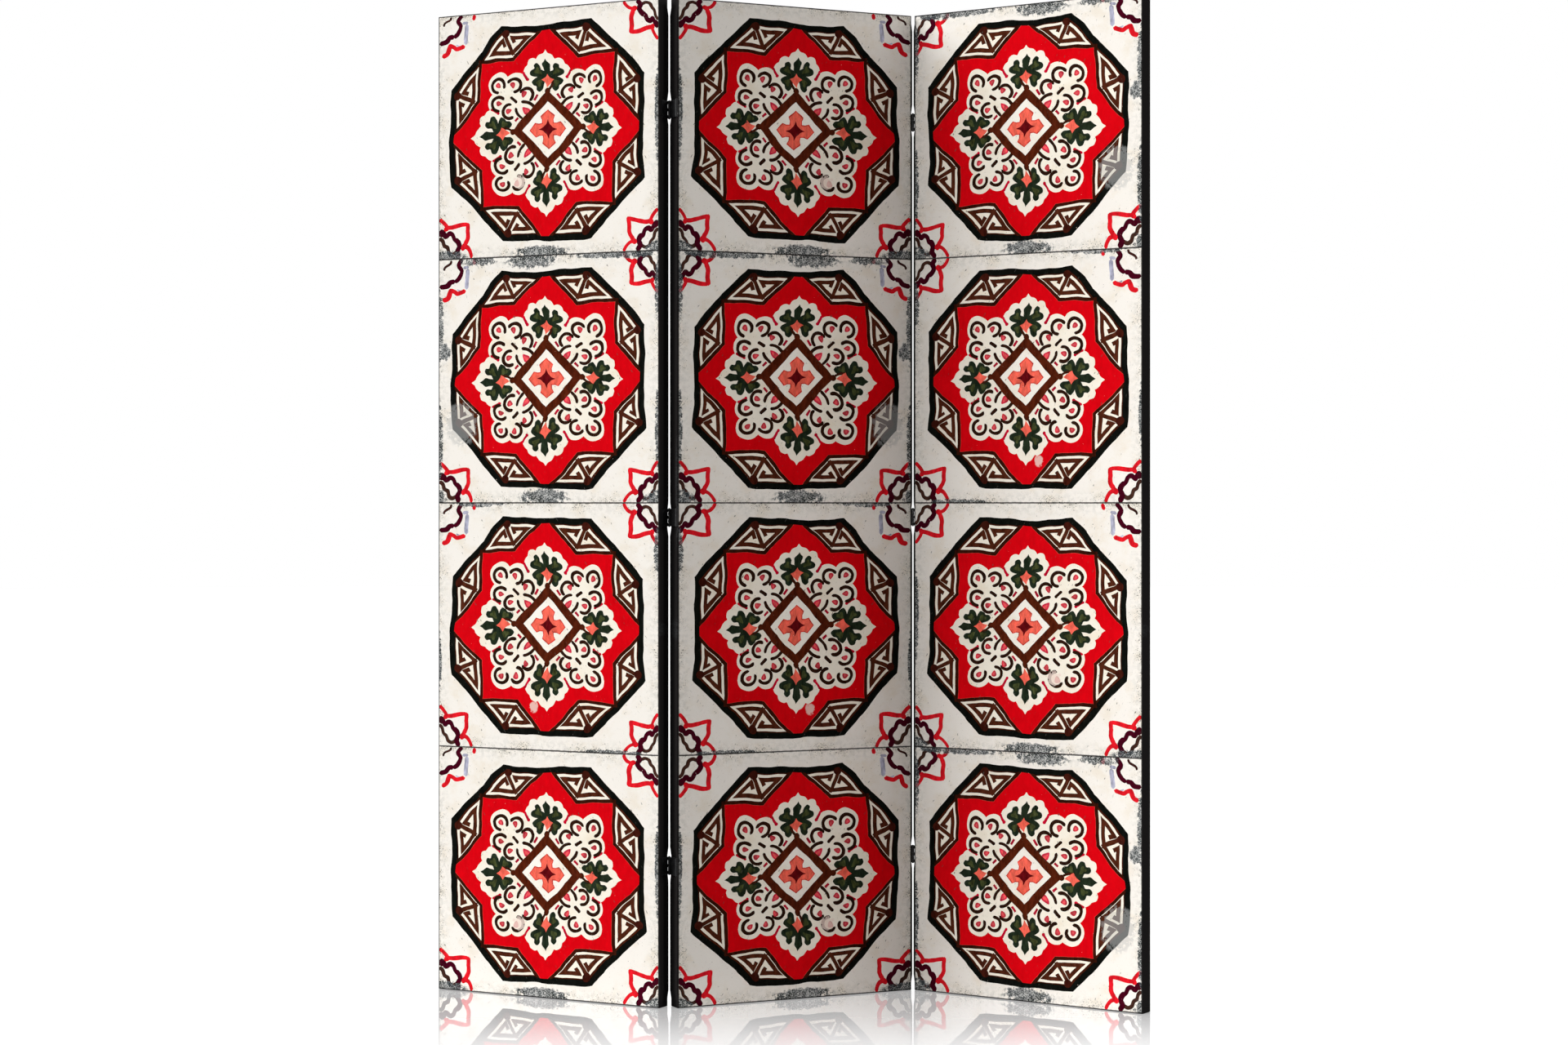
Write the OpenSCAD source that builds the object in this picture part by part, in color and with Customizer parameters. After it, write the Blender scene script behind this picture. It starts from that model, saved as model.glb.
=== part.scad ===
// Three-panel folding screen.
// Printed canvas is stretched over mitred pine frames, and the panels are joined
// by double-acting hinges: each has two leaves, a link between them and two pins,
// so a panel folds forwards about its front pins or backwards about its back pins.
//
// Each panel is drawn upright at the origin: x runs across it, the printed face
// looks along -y, the foot is at z = 0 and its depth is centred on y = 0.
// place() then stands it in the zig-zag of the open screen. Lengths in millimetres.

/* [Panels] */
// Width of one panel over its canvas
panel_w = 450; // [380:5:600]
// Height of one panel over its canvas
panel_h = 1720; // [1500:10:2000]
// Thickness of the printed canvas
canvas_t = 0.6; // [0.4:0.1:1.2]
// Radius of the canvas where it turns round the frame's edges
edge_r = 1.5; // [1.3:0.1:3]
// Width of canvas turned over on the back of the frame
flap_w = 25; // [18:1:30]
// Slit between two turned-over flaps at a corner
flap_slit = 0.4; // [0.2:0.1:1]
// Thickness of the plain cloth that closes the back
cover_t = 0.5; // [0.3:0.1:1]
// Margin of canvas left bare around the back cloth
cover_in = 6; // [4:1:10]

/* [Stretcher frames] */
// Depth of the stretcher bars, front to back
bar_d = 28; // [26:1:40]
// Width of the stretcher bars, across the panel's face
bar_w = 38; // [34:1:55]
// Width of the raised lip that carries the canvas
lip_w = 8; // [5:1:14]
// How far the bar's face falls away from the canvas at its inner edge
lip_fall = 3; // [1:0.5:5]
// Height of the crossbars
cross_w = 38; // [25:1:60]
// Depth of the crossbars, which lie flush with the back of the frame
cross_d = 20; // [14:1:22]
// Distance from the top or foot of a panel to the middle of the nearest crossbar
cross_in = 560; // [450:10:650]
// Radius of the dowels that join the crossbars to the stiles
dowel_r = 4; // [3:0.5:5]
// Length of the dowels
dowel_l = 40; // [24:2:44]

/* [Nails and staples] */
// Length of each leg of the angled nails across the mitres
nail_leg = 6; // [4:1:7]
// Thickness of the angled nails
nail_t = 0.8; // [0.5:0.1:1.2]
// Depth to which the angled nails are driven
nail_l = 10; // [7:1:14]
// Distance of the nails from the outer and the inner end of a mitre
nail_in = 10; // [9:1:12]
// Width of a staple over its legs
staple_w = 10; // [6:1:12]
// Length of a staple's legs
staple_l = 8; // [6:1:12]
// Thickness of the staple wire
wire_t = 0.7; // [0.5:0.1:0.9]
// How deep a staple's crown is pressed into the cloth
wire_in = 0.35; // [0.25:0.05:0.45]
// Widest spacing of the staples
staple_gap = 60; // [40:5:90]
// Distance of the staples from the edge of the back cloth
staple_in = 6; // [4:1:8]
// Distance of the last staples from a panel's corner
staple_end = 40; // [38:1:60]

/* [Fold] */
// Clear gap between two panels that stand in one line
fold_gap = 5.4; // [5.2:0.1:8]
// Angle of the middle panel to the line of the screen
middle_angle = 25.8; // [15:0.1:35]
// Angle of the fold between the left and the middle panel, ridge to the front
left_angle = 53.4; // [30:0.1:90]
// Angle of the fold between the middle and the right panel, ridge to the back
right_angle = 60; // [30:0.1:90]

/* [Hinges] */
// Height of a hinge
hinge_h = 30; // [25:1:60]
// Height of the lowest hinges above the floor, at their middle
hinge_low = 240; // [150:10:400]
// Height of the centre hinges above the floor, at their middle
hinge_mid = 835; // [700:5:950]
// Distance of the highest hinges below the top of the panels, at their middle
hinge_top = 188; // [120:2:300]
// Thickness of the leaves
leaf_t = 1.2; // [1.1:0.1:1.5]
// Width of a leaf from the axis of its pin to its free edge
leaf_w = 24; // [20:1:25]
// Radius of a leaf's free corners
leaf_r = 3; // [1:0.5:4]
// Thickness of the link between the leaves
link_t = 1.2; // [1:0.1:1.5]
// Number of knuckles round each pin
knuckles = 5; // [3:2:7]
// Radius of the hinge pins
pin_r = 1.25; // [1:0.05:1.4]
// Radius of the heads that keep a pin in its knuckles
pin_head_r = 1.9; // [1.7:0.1:2.2]
// Height of the pin heads
pin_head_h = 0.9; // [0.6:0.1:1.5]
// How far the pin axes stand out from the panels' faces
pin_out = 0.8; // [0.7:0.1:1.5]

/* [Hinge screws] */
// Radius of the screws' shanks
screw_r = 1.25; // [1.15:0.05:1.4]
// Radius of the countersunk screw heads
screw_head_r = 2.2; // [2:0.05:2.3]
// Length of the screws with their heads
screw_l = 13; // [10:1:16]
// Length of the screws' tips
screw_tip = 2.5; // [1.5:0.5:4]
// Radius of the screws' blunt points
screw_point_r = 0.25; // [0.1:0.05:0.5]
// Distance of the screws from the edges of a leaf and from the barrel
screw_in = 5.5; // [5:0.5:6]
// Width of the cross-shaped recess in the screw heads
recess_w = 0.6; // [0.4:0.1:0.8]
// Depth of the cross-shaped recess in the screw heads
recess_d = 0.6; // [0.4:0.1:0.9]

/* [Fits] */
// Radial clearance of the pins in their knuckles
pin_fit = 0.05; // [0.03:0.01:0.08]
// Gap between neighbouring knuckles, and under the pin heads
knuckle_gap = 0.3; // [0.2:0.05:0.5]
// Clearance of the barrels from the panels beside them
barrel_fit = 0.3; // [0.3:0.05:0.4]
// Clearance of a notch round the knuckle that turns in it
notch_fit = 0.4; // [0.3:0.05:0.6]
// Radial clearance of screws and dowels in their holes
hole_fit = 0.05; // [0.02:0.01:0.1]
// Depth of the holes past the ends of the screws and dowels
hole_room = 1; // [0.5:0.25:1.5]

/* [Hidden] */
PANELS = ["left", "middle", "right"];
LEVELS = ["upper", "centre", "lower"];
PANEL_PIECES = [
    "left_stile", "right_stile", "top_rail", "bottom_rail",
    "upper_crossbar", "lower_crossbar", "dowels", "corner_nails",
    "canvas", "back_cloth", "staples", "hinge_screws",
];
HINGE_PIECES = ["outer_leaf", "link", "inner_leaf"];
$fn = 48;

// Overshoot of a cutting solid past the face that it cuts
cut = 1;

// The canvas envelope, and the panel's thickness with the back cloth on it
wrap_d = bar_d + 2 * canvas_t;
panel_t = wrap_d + cover_t;
front_y = -panel_t / 2;
back_y = panel_t / 2;
wrap_y = front_y + wrap_d / 2;

// The wooden frame fills the canvas: its outer faces lie one canvas_t inside
frame_w = panel_w - 2 * canvas_t;
frame_h = panel_h - 2 * canvas_t;
frame_x = frame_w / 2;
frame_front = front_y + canvas_t;
frame_back = frame_front + bar_d;
cross_l = frame_w - 2 * bar_w;
cross_y = frame_back - cross_d / 2;
cross_z = [cross_in, panel_h - cross_in];

// Staple rows, measured in from a panel's outer edges
row_in = cover_in + staple_in;

// Hinge: the pins stand mid-gap, one row in front of the panels and one behind
fold_pitch = panel_w + fold_gap;
barrel_r = fold_gap / 2 - barrel_fit;
pin_y = panel_t / 2 + pin_out;
knuckle_pitch = (hinge_h + knuckle_gap) / knuckles;
knuckle_h = knuckle_pitch - knuckle_gap;
notch_y = barrel_r + notch_fit;
hinge_z = [panel_h - hinge_top, hinge_mid, hinge_low];
screw_y = [barrel_r + screw_in, leaf_w - screw_in];
screw_z = hinge_h / 2 - screw_in;

// Plan of the open screen, as seen in the middle panel's own plan:
// the left panel is folded about the left back pins, the right one about
// the right front pins, and both links lie closed against the middle panel
left_pin = [-fold_pitch / 2, pin_y];
right_pin = [fold_pitch / 2, -pin_y];
pin_points = [
    left_pin, [left_pin.x, -pin_y],
    right_pin, [right_pin.x, pin_y],
];
edge_points = [for (x = [-1, 1], y = [-1, 1])
    [x * (panel_w / 2 - edge_r), wrap_y + y * (wrap_d / 2 - edge_r)]];

function turn(p, a) = [p.x * cos(a) - p.y * sin(a), p.x * sin(a) + p.y * cos(a)];
function turn_about(p, pin, a) = pin + turn(p - pin, a);

// Discs that touch the outline of the screen's plan: [centre, radius]
discs = [
    for (p = edge_points) each [
        [p, edge_r],
        [turn_about(p - [fold_pitch, 0], left_pin, -left_angle), edge_r],
        [turn_about(p + [fold_pitch, 0], right_pin, -right_angle), edge_r],
    ],
    for (p = pin_points) [p, barrel_r],
];
plan = [for (d = discs) [turn(d[0], middle_angle), d[1]]];
plan_x = [for (d = plan) each [d[0].x - d[1], d[0].x + d[1]]];
plan_y = [for (d = plan) each [d[0].y - d[1], d[0].y + d[1]]];
centre = [max(plan_x) + min(plan_x), max(plan_y) + min(plan_y)] / 2;

// Sides of a panel that carry hinges: -1 is its left side, 1 its right side
function hinged_sides(panel) =
    panel == "left" ? [1] : panel == "right" ? [-1] : [-1, 1];

// ---- places ----------------------------------------------------------------

module turned(pin, a) {
    translate([pin.x, pin.y, 0]) rotate(a) translate([-pin.x, -pin.y, 0]) children();
}

// From the middle panel's plan to the standing screen
module standing() {
    translate([-centre.x, -centre.y, 0]) rotate(middle_angle) children();
}

module place(panel) {
    if (panel == "left")
        standing() turned(left_pin, -left_angle) translate([-fold_pitch, 0, 0]) children();
    else if (panel == "right")
        standing() turned(right_pin, -right_angle) translate([fold_pitch, 0, 0]) children();
    else
        standing() children();
}

// A hinge's own place on one side of a panel: its x axis points into that panel,
// which puts the pin of a left side's leaf in front and of a right side's behind
module at_side(side, z) {
    translate([side * fold_pitch / 2, 0, z]) rotate(side < 0 ? 0 : 180) children();
}

// ---- canvas and back cloth ---------------------------------------------------

// Rectangle centred on the origin with rounded corners
module round_rect(w, h, r) {
    square([w - 2 * r, h], center = true);
    square([w, h - 2 * r], center = true);
    for (x = [-1, 1], y = [-1, 1])
        translate([x * (w / 2 - r), y * (h / 2 - r)]) circle(r);
}

// Block with the outline of the wrapped panel, this far inside its outer faces
module wrapped_block(inside) {
    w = panel_w - 2 * inside;
    h = panel_h - 2 * inside;
    d = wrap_d - 2 * inside;
    r = edge_r - inside;
    translate([0, wrap_y, panel_h / 2]) intersection() {
        translate([0, 0, -h / 2]) linear_extrude(h) round_rect(w, d, r);
        translate([-w / 2, 0, 0]) rotate([90, 0, 90]) linear_extrude(w) round_rect(d, h, r);
    }
}

// Cut along the mitre between two flaps, from the wrapped corner inwards
module corner_slit() {
    from = 2 * edge_r;
    translate([from, frame_back, -flap_slit / 2])
        cube([flap_w * sqrt(2) - from + cut, canvas_t + cut, flap_slit]);
}

module canvas(panel) {
    color([0.90, 0.86, 0.82]) difference() {
        wrapped_block(0);
        wrapped_block(canvas_t);
        translate([-panel_w / 2 + flap_w, frame_back - cut, flap_w])
            cube([panel_w - 2 * flap_w, canvas_t + 2 * cut, panel_h - 2 * flap_w]);
        translate([-panel_w / 2, 0, 0]) rotate([0, -45, 0]) corner_slit();
        translate([panel_w / 2, 0, 0]) rotate([0, -135, 0]) corner_slit();
        translate([panel_w / 2, 0, panel_h]) rotate([0, 135, 0]) corner_slit();
        translate([-panel_w / 2, 0, panel_h]) rotate([0, 45, 0]) corner_slit();
        hinge_holes(panel);
    }
}

module back_cloth() {
    color([0.93, 0.91, 0.86])
        translate([-panel_w / 2 + cover_in, back_y - cover_t, cover_in])
            cube([panel_w - 2 * cover_in, cover_t, panel_h - 2 * cover_in]);
}

// ---- stretcher frame ---------------------------------------------------------

// Section of a stretcher bar: x = 0 is its outer side, y = 0 the canvas side.
// Only the outer lip carries the canvas, and the face falls away behind it
module bar_section() {
    r = edge_r - canvas_t;
    polygon([
        [r, 0], [lip_w, 0], [bar_w, lip_fall], [bar_w, bar_d], [r, bar_d],
        [0, bar_d - r], [0, r],
    ]);
    for (y = [r, bar_d - r]) translate([r, y]) circle(r);
}

// Bar along z with both ends mitred towards its inner side
module mitred_bar(l) {
    intersection() {
        linear_extrude(l) bar_section();
        translate([0, bar_d, 0]) rotate([90, 0, 0]) linear_extrude(bar_d)
            polygon([[0, 0], [bar_w, bar_w], [bar_w, l - bar_w], [0, l]]);
    }
}

module stile(side, hinged) {
    color("burlywood") difference() {
        translate([side * frame_x, frame_front, side < 0 ? canvas_t : panel_h - canvas_t])
            rotate([0, side < 0 ? 0 : 180, 0]) mitred_bar(frame_h);
        for (z = cross_z) dowel_hole(side, z);
        if (hinged) for (z = hinge_z) at_side(side, z) screw_holes();
    }
}

module bottom_rail() {
    color("burlywood") translate([frame_x, frame_front, canvas_t])
        rotate([0, -90, 0]) mitred_bar(frame_w);
}

module top_rail() {
    color("burlywood") translate([-frame_x, frame_front, panel_h - canvas_t])
        rotate([0, 90, 0]) mitred_bar(frame_w);
}

module crossbar(z) {
    color("burlywood") difference() {
        translate([-cross_l / 2, frame_back - cross_d, z - cross_w / 2])
            cube([cross_l, cross_d, cross_w]);
        for (side = [-1, 1]) dowel_hole(side, z);
    }
}

// Rod along x across the joint between a crossbar and a stile
module joint_rod(side, z, r, l) {
    translate([side * cross_l / 2 - l / 2, cross_y, z]) rotate([0, 90, 0]) cylinder(h = l, r = r);
}

// The hole is a little deeper than the dowel at both ends, to hold the glue
module dowel_hole(side, z) {
    joint_rod(side, z, dowel_r + hole_fit, dowel_l + 2 * hole_room);
}

module dowels() {
    color("tan") for (side = [-1, 1], z = cross_z) joint_rod(side, z, dowel_r, dowel_l);
}

// Angled nail whose corner points along the mitre, one leg in each bar
module angled_nail() {
    translate([0, frame_back, 0]) rotate([90, 0, 0]) linear_extrude(nail_l)
        polygon([
            [0, 0], [nail_leg, 0], [nail_leg, nail_t], [nail_t, nail_t],
            [nail_t, nail_leg], [0, nail_leg],
        ]);
}

module corner_nails() {
    color("silver") for (turns = [0 : 3], at = [nail_in, bar_w - nail_in])
        translate([turns == 0 || turns == 3 ? -frame_x : frame_x, 0,
                   turns < 2 ? canvas_t : panel_h - canvas_t])
            rotate([0, -90 * turns, 0]) translate([at, 0, at]) angled_nail();
}

// ---- staples -----------------------------------------------------------------

// Staple with its crown along x, legs driven into the panel
module staple() {
    translate([0, back_y + wire_t - wire_in, -wire_t / 2]) linear_extrude(wire_t)
        polygon([
            [-staple_w / 2, 0], [staple_w / 2, 0],
            [staple_w / 2, -staple_l], [staple_w / 2 - wire_t, -staple_l],
            [staple_w / 2 - wire_t, -wire_t], [wire_t - staple_w / 2, -wire_t],
            [wire_t - staple_w / 2, -staple_l], [-staple_w / 2, -staple_l],
        ]);
}

// Evenly spaced places along an edge of this length
function staple_places(l) =
    let (run = l - 2 * staple_end, n = ceil(run / staple_gap))
    [for (i = [0 : n]) staple_end + run * i / n];

module staples() {
    color("silver") {
        for (x = staple_places(panel_w), z = [row_in, panel_h - row_in])
            translate([x - panel_w / 2, 0, z]) staple();
        for (z = staple_places(panel_h), side = [-1, 1])
            translate([side * (panel_w / 2 - row_in), 0, z]) rotate([0, 90, 0]) staple();
    }
}

// ---- hinges ------------------------------------------------------------------
// A hinge is drawn about the middle of the gap between two panels in line, with
// the panel that carries the leaf on the +x side and that leaf's pin at -y.

module at_knuckle(k) {
    translate([0, 0, k * knuckle_pitch - hinge_h / 2]) children();
}

// Knuckles of one barrel: every second one belongs to the leaf, the rest to the link
module barrel(first) {
    for (k = [first : 2 : knuckles - 1]) at_knuckle(k) cylinder(h = knuckle_h, r = barrel_r);
}

module pin_bore() {
    translate([0, 0, -hinge_h / 2 - cut]) cylinder(h = hinge_h + 2 * cut, r = pin_r + pin_fit);
}

// Notches in a plate where the other piece's knuckles turn; the plate runs along +y
module notches(first) {
    for (k = [first : 2 : knuckles - 1]) at_knuckle(k)
        translate([-fold_gap / 2 - cut, -barrel_r - cut, -knuckle_gap])
            cube([fold_gap + 2 * cut, barrel_r + cut + notch_y, knuckle_h + 2 * knuckle_gap]);
}

// Places of a leaf's four screws, drawn with +x into the panel
module at_screws() {
    for (y = screw_y, z = [-screw_z, screw_z])
        translate([fold_gap / 2 - leaf_t, y - pin_y, z]) rotate([0, 90, 0]) children();
}

// Solid of one screw, or of its hole with this much clearance round it
module screw_body(fit) {
    cylinder(h = screw_head_r - screw_r, r1 = screw_head_r + fit, r2 = screw_r + fit);
    cylinder(h = screw_l - screw_tip + fit, r = screw_r + fit);
}

module screw_holes() {
    at_screws() screw_body(hole_fit);
    at_screws() translate([0, 0, screw_l - screw_tip])
        cylinder(h = screw_tip + hole_room, r = screw_r + hole_fit);
}

module hinge_holes(panel) {
    for (side = hinged_sides(panel), z = hinge_z) at_side(side, z) screw_holes();
}

module screw() {
    difference() {
        union() {
            screw_body(0);
            translate([0, 0, screw_l - screw_tip])
                cylinder(h = screw_tip, r1 = screw_r, r2 = screw_point_r);
        }
        for (a = [0, 90]) rotate(a)
            translate([-screw_r, -recess_w / 2, -cut]) cube([2 * screw_r, recess_w, recess_d + cut]);
    }
}

module hinge_screws(panel) {
    color([0.12, 0.12, 0.12])
        for (side = hinged_sides(panel), z = hinge_z) at_side(side, z) at_screws() screw();
}

// Leaf: a plate against the panel's side that runs into the knuckles of its pin
module leaf() {
    color([0.10, 0.10, 0.10]) difference() {
        union() {
            difference() {
                intersection() {
                    translate([0, -pin_y, -hinge_h / 2]) linear_extrude(hinge_h) leaf_section();
                    translate([0, -pin_y, 0]) rotate([90, 0, 90]) linear_extrude(fold_gap)
                        leaf_outline();
                }
                translate([0, -pin_y, 0]) notches(1);
            }
            translate([0, -pin_y, 0]) barrel(0);
        }
        translate([0, -pin_y, 0]) pin_bore();
        screw_holes();
    }
}

// The plate in plan: it leaves the barrel and slopes out to the panel's side
module leaf_section() {
    polygon([
        [fold_gap / 2 - leaf_t, 0], [barrel_r, 0], [fold_gap / 2, leaf_t],
        [fold_gap / 2, leaf_w], [fold_gap / 2 - leaf_t, leaf_w],
    ]);
}

// The plate from its side: square at the barrel, round corners at its free edge
module leaf_outline() {
    translate([0, -hinge_h / 2]) square([leaf_w - leaf_r, hinge_h]);
    translate([0, leaf_r - hinge_h / 2]) square([leaf_w, hinge_h - 2 * leaf_r]);
    for (y = [-1, 1]) translate([leaf_w - leaf_r, y * (hinge_h / 2 - leaf_r)]) circle(leaf_r);
}

// Link: a plate that stands in the gap and has knuckles for both pins
module link() {
    color([0.10, 0.10, 0.10]) difference() {
        union() {
            difference() {
                translate([-link_t / 2, -pin_y, -hinge_h / 2]) cube([link_t, 2 * pin_y, hinge_h]);
                for (end = [0, 180]) rotate(end) translate([0, -pin_y, 0]) notches(0);
            }
            for (end = [0, 180]) rotate(end) translate([0, -pin_y, 0]) barrel(1);
        }
        for (end = [0, 180]) rotate(end) translate([0, -pin_y, 0]) pin_bore();
    }
}

// Pin with a flat-topped head at each end, clear of the knuckles between them
module pin() {
    reach = hinge_h / 2 + knuckle_gap;
    color([0.16, 0.16, 0.16]) {
        translate([0, 0, -reach]) cylinder(h = 2 * reach, r = pin_r);
        for (end = [0, 180]) rotate([end, 0, 0])
            translate([0, 0, reach]) cylinder(h = pin_head_h, r1 = pin_head_r, r2 = pin_r);
    }
}

// The three pins of one row, in the middle panel's plan
module pins(fold, row) {
    side = fold == "left" ? -1 : 1;
    y = row == "front" ? -pin_y : pin_y;
    for (z = hinge_z) translate([side * fold_pitch / 2, y, z]) pin();
}

// ---- the screen --------------------------------------------------------------

for (panel = PANELS) {
    name = str(panel, "_panel_");
    sides = hinged_sides(panel);
    place(panel) stile(-1, panel != "left");
    place(panel) stile(1, panel != "right");
    place(panel) top_rail();
    place(panel) bottom_rail();
    place(panel) crossbar(cross_z[1]);
    place(panel) crossbar(cross_z[0]);
    place(panel) dowels();
    place(panel) corner_nails();
    place(panel) canvas(panel);
    place(panel) back_cloth();
    place(panel) staples();
    place(panel) hinge_screws(panel);
}

for (fold = ["left", "right"]) {
    side = fold == "left" ? -1 : 1;
    for (i = [0 : len(LEVELS) - 1]) {
        name = str(fold, "_", LEVELS[i], "_hinge_");
        place(fold) at_side(-side, hinge_z[i]) leaf();
        place("middle") at_side(side, hinge_z[i]) link();
        place("middle") at_side(side, hinge_z[i]) leaf();
    }
    for (row = ["front", "back"])
        place("middle") pins(fold, row);
}
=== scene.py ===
# %% [markdown]
# # A folding screen with a printed tile pattern
# The real object is three tall stretched canvases, joined by black hinges into a screen that
# stands in a zig-zag. The CAD model gives the wooden frames, hinges, nails and staples. This lesson
# gives them their looks: the printed canvas of each panel, the cloth on its back, and the finish of
# each material. It ends with the camera, the floor and the light.

import bpy
import numpy as np
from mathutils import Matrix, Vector
from mathutils.geometry import delaunay_2d_cdt


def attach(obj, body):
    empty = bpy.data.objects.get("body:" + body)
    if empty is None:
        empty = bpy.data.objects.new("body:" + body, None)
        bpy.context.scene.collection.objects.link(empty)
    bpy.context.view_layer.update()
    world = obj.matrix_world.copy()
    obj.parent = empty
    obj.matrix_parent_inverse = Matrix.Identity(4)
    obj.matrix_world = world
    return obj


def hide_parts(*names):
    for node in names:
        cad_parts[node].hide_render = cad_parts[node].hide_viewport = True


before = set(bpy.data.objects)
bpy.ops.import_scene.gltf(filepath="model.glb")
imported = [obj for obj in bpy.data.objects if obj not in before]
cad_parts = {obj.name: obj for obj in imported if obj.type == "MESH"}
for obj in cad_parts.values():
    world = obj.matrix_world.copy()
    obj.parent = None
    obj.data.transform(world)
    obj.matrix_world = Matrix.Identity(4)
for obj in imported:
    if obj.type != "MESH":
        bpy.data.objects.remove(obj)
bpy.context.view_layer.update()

# %% [markdown]
# ## Camera
# The photograph is taken from straight in front, at about half the screen's height, with a lens
# long enough to keep the edges upright. The camera comes first, so that each step can be looked at.

# %% Camera
camera = bpy.data.objects.new("camera", bpy.data.cameras.new("camera"))
camera.data.lens = 69.16
camera.data.sensor_width = 36
camera.data.shift_y = -0.0120
camera.location = (-0.00375, -5.2113, 0.8586)
camera.rotation_euler = (np.pi / 2, 0, 0)
bpy.context.scene.collection.objects.link(camera)
bpy.context.scene.camera = camera
print("camera at", camera.location.to_tuple(3))

# %% [markdown]
# ## Where each panel stands
# A panel is drawn upright in its own plane, x across and z up, and then turned about the upright
# axis to where its CAD canvas stands. The turn is known from the zig-zag. The place is measured:
# the CAD canvas is turned back, its box is taken, and the box's middle is turned forward again.

# %% Panel sizes, in metres
PANELS = {"left": -27.6, "middle": 25.8, "right": -34.2}  # turn in degrees
WIDE, HIGH = 0.450, 1.720
DEEP = 0.0292  # canvas face to the back of its flap
ROWS = 4  # tiles on a panel, one above another
HALF_PANEL, HALF_TILE = np.array([WIDE, HIGH]) / 2, np.array([WIDE, HIGH / ROWS]) / 2


def turned(points, degrees):
    """Points turned about the upright axis: the turn's cosine and sine mix x and y."""
    c, s = np.cos(np.radians(degrees)), np.sin(np.radians(degrees))
    return np.stack([points[:, 0] * c - points[:, 1] * s, points[:, 0] * s + points[:, 1] * c,
                     points[:, 2]], 1)


def corners_of(node):
    """The CAD node's vertices as an array."""
    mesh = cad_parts[node].data
    flat = np.empty(len(mesh.vertices) * 3)
    mesh.vertices.foreach_get("co", flat)
    return flat.reshape(-1, 3)


centre_of = {}
for panel, degrees in PANELS.items():
    back = turned(corners_of(panel + "_panel_canvas"), -degrees)
    middle = (back.min(0) + back.max(0)) / 2
    centre_of[panel] = turned(np.array([[middle[0], middle[1] - DEEP / 2, 0]]), degrees)[0]
    print(panel, "face centre", centre_of[panel].round(4), "size", np.ptp(back, 0).round(4))


def stood(points, panel):
    """From the panel's own frame, with y counted back from the printed face, to the room."""
    return turned(points, PANELS[panel]) + centre_of[panel]


# %% A mesh from arrays
def sheet_object(name, points, faces, smooth, layers, ink=None):
    """Object from vertices and a list of face arrays. Each UV layer has a pair for each corner, in
    the faces' order, and ink has a colour for each."""
    mesh = bpy.data.meshes.new(name)
    mesh.from_pydata(points.tolist(), [], [f for group in faces for f in group.tolist()])
    mesh.polygons.foreach_set("use_smooth", smooth)
    for layer, uv in layers.items():
        mesh.uv_layers.new(name=layer).data.foreach_set("uv", uv.astype(np.float32).ravel())
    if ink is not None:
        colours = mesh.color_attributes.new("ink", "FLOAT_COLOR", "CORNER")
        colours.data.foreach_set("color", ink.astype(np.float32).ravel())
    mesh.update()
    piece = bpy.data.objects.new(name, mesh)
    bpy.context.scene.collection.objects.link(piece)
    return piece


# %% [markdown]
# ## The tile pattern as shapes
# The print is a hand-painted tile, repeated twelve times: an eight-pointed red star with a white
# flower in an octagon of frets. It could be a shader of distance formulas, but brush strokes are
# easier to draw as outlines. So one tile is a list of flat shapes with a colour each, in the order
# in which a painter would lay them on. Its corners are at 1 and -1 both ways.

# %% Lines and strokes
MM = 1 / 220  # about a millimetre, as half a tile is 225 mm wide and 215 mm high


def curve(points, closed=False, steps=6):
    """Catmull-Rom curve: it passes each point in the direction from the one before to the next."""
    p = np.asarray(points, float)
    if closed:
        a, b, c, d = np.roll(p, 1, 0), p, np.roll(p, -1, 0), np.roll(p, -2, 0)
    else:
        q = np.vstack([2 * p[0] - p[1], p, 2 * p[-1] - p[-2]])
        a, b, c, d = q[:-3], q[1:-2], q[2:-1], q[3:]
    t = np.linspace(0, 1, steps, endpoint=False)[None, :, None]
    a, b, c, d = (v[:, None] for v in (a, b, c, d))
    line = b + 0.5 * t * (c - a + t * (2 * a - 5 * b + 4 * c - d + t * (3 * (b - c) + d - a)))
    line = line.reshape(-1, 2)
    return line if closed else np.vstack([line, p[-1]])


def arc(centre, radius, start, stop, steps=22):
    """Points on a circle between two angles: the centre plus the radius times cosine and sine."""
    a = np.radians(np.linspace(start, stop, steps))
    return np.asarray(centre) + radius * np.stack([np.cos(a), np.sin(a)], 1)


def disc(centre, radius, steps=20):
    """Whole circle as a closed outline."""
    return arc(centre, radius, 0, 360 - 360 / steps, steps)


def stroke(line, width, point=1.0):
    """Brush stroke: half the width to each side of a line, closing as a circle does at the ends.
    point above 1 draws the ends out."""
    step = np.gradient(line, axis=0)
    side = np.stack([-step[:, 1], step[:, 0]], 1) / np.hypot(*step.T)[:, None]
    run = np.r_[0, np.cumsum(np.hypot(*np.diff(line, axis=0).T))]
    near = np.clip(np.minimum(run, run[-1] - run) / (width / 2 * point), 0, 1)
    half = width / 2 * np.maximum(np.sqrt(1 - (1 - near) ** 2), 0.12)
    return np.vstack([line + side * half[:, None], (line - side * half[:, None])[::-1]])


def band(points, width):
    """Straight band along a bent line: at a bend the two sides' normals are added into a mitre."""
    p = np.asarray(points, float)
    d = np.diff(p, axis=0)
    d /= np.hypot(*d.T)[:, None]
    n = np.stack([-d[:, 1], d[:, 0]], 1)
    first, last = np.vstack([n[:1], n]), np.vstack([n, n[-1:]])
    mitre = (first + last) / (1 + np.sum(first * last, 1))[:, None]
    return np.vstack([p + mitre * width / 2, (p - mitre * width / 2)[::-1]])


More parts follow.
